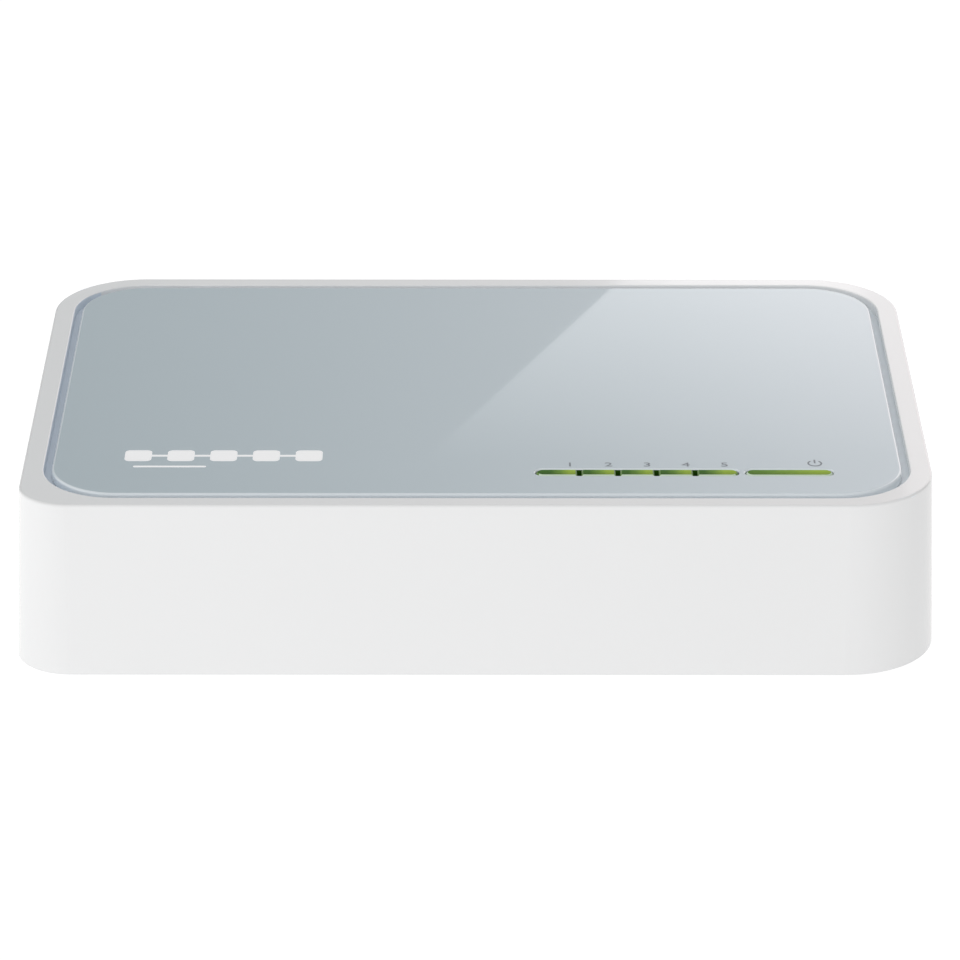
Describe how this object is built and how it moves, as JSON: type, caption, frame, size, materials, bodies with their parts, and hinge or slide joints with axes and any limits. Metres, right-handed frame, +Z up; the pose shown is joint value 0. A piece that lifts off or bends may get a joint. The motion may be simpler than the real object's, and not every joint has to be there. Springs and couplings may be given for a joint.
{
  "type": "desktop network switch",
  "caption": "Small desktop network switch: white drafted plastic case with a silver-grey panel set in a groove on top, green light windows, ganged network sockets and a power inlet at the rear.",
  "frame": {"origin": "centre of the footprint, on the surface that the feet stand on", "axes": "+X to the right seen from the lights, -Y towards the lights, +Y towards the sockets, +Z up"},
  "size_m": [0.1036, 0.07, 0.0217],
  "materials": {
    "case_white": "satin-gloss moulded ABS",
    "panel_silver": "glossy silver-grey plastic",
    "adhesive_clear": "adhesive film",
    "light_guide_green": "clear green light pipe",
    "baffle_black": "matt",
    "foot_rubber": "matt",
    "screw_steel": "zinc plated",
    "label_film": "blank printed film",
    "board_green": "solder mask",
    "socket_black": "moulded",
    "insert_black": "moulded",
    "contact_gold": "gold plated",
    "jack_nickel": "nickel plated",
    "package_black": "moulded epoxy",
    "lead_tin": "tin plated",
    "crystal_can": "satin can",
    "ferrite_grey": "ferrite",
    "fuse_green": "moulded",
    "capacitor_can": "drawn can",
    "resistor_black": "glazed",
    "ceramic_tan": "fired",
    "led_cream": "clear epoxy"
  },
  "bodies": {
    "switch": {"base_cover": "case_white", "capacitor_core": "capacitor_can", "capacitor_input": "capacitor_can", "capacitor_output": "capacitor_can", "case_screws": "screw_steel", "chip_capacitors": "ceramic_tan", "chip_resistors": "resistor_black", "crystal": "crystal_can", "dc_jack_center_pin": "jack_nickel", "dc_jack_housing": "socket_black", "dc_jack_terminals": "jack_nickel", "eeprom": "package_black", "foot_front_left": "foot_rubber", "foot_front_right": "foot_rubber", "foot_rear_left": "foot_rubber", "foot_rear_right": "foot_rubber", "fuse": "fuse_green", "inductor": "ferrite_grey", "led_1": "led_cream", "led_2": "led_cream", "led_3": "led_cream", "led_4": "led_cream", "led_5": "led_cream", "led_light_baffle": "baffle_black", "led_power": "led_cream", "magnetics_1": "package_black", "magnetics_2": "package_black", "magnetics_3": "package_black", "magnetics_4": "package_black", "magnetics_5": "package_black", "panel_adhesive": "adhesive_clear", "pcb": "board_green", "pcb_screws": "screw_steel", "port_1_contact_pins": "contact_gold", "port_1_insert": "insert_black", "port_2_contact_pins": "contact_gold", "port_2_insert": "insert_black", "port_3_contact_pins": "contact_gold", "port_3_insert": "insert_black", "port_4_contact_pins": "contact_gold", "port_4_insert": "insert_black", "port_5_contact_pins": "contact_gold", "port_5_insert": "insert_black", "port_light_guide": "light_guide_green", "power_light_guide": "light_guide_green", "rating_label": "label_film", "rectifier_diode": "package_black", "regulator_ic": "package_black", "rj45_housing": "socket_black", "switch_ic": "package_black", "switch_ic_leads": "lead_tin", "top_cover": "case_white", "top_panel": "panel_silver"},
    "port_1_springs": {"port_1_contact_springs": "contact_gold"},
    "port_2_springs": {"port_2_contact_springs": "contact_gold"},
    "port_3_springs": {"port_3_contact_springs": "contact_gold"},
    "port_4_springs": {"port_4_contact_springs": "contact_gold"},
    "port_5_springs": {"port_5_contact_springs": "contact_gold"},
    "jack_leaf": {"dc_jack_spring": "jack_nickel"}
  },
  "joints": [
    {"name": "port_1_contact_flex", "type": "hinge", "parent": "switch", "child": "port_1_springs", "pos_m": [-0.0335, 0.032, 0.018], "axis": [-1, 0, 0], "range_deg": [0, 7], "stiffness_Nm_per_rad": 0.5},
    {"name": "port_2_contact_flex", "type": "hinge", "parent": "switch", "child": "port_2_springs", "pos_m": [-0.0195, 0.032, 0.018], "axis": [-1, 0, 0], "range_deg": [0, 7], "stiffness_Nm_per_rad": 0.5},
    {"name": "port_3_contact_flex", "type": "hinge", "parent": "switch", "child": "port_3_springs", "pos_m": [-0.0055, 0.032, 0.018], "axis": [-1, 0, 0], "range_deg": [0, 7], "stiffness_Nm_per_rad": 0.5},
    {"name": "port_4_contact_flex", "type": "hinge", "parent": "switch", "child": "port_4_springs", "pos_m": [0.0085, 0.032, 0.018], "axis": [-1, 0, 0], "range_deg": [0, 7], "stiffness_Nm_per_rad": 0.5},
    {"name": "port_5_contact_flex", "type": "hinge", "parent": "switch", "child": "port_5_springs", "pos_m": [0.0225, 0.032, 0.018], "axis": [-1, 0, 0], "range_deg": [0, 7], "stiffness_Nm_per_rad": 0.5},
    {"name": "jack_leaf_flex", "type": "hinge", "parent": "switch", "child": "jack_leaf", "pos_m": [0.0365, 0.0228, 0.00965], "axis": [-1, 0, 0], "range_deg": [0, 4], "stiffness_Nm_per_rad": 0.45}
  ]
}
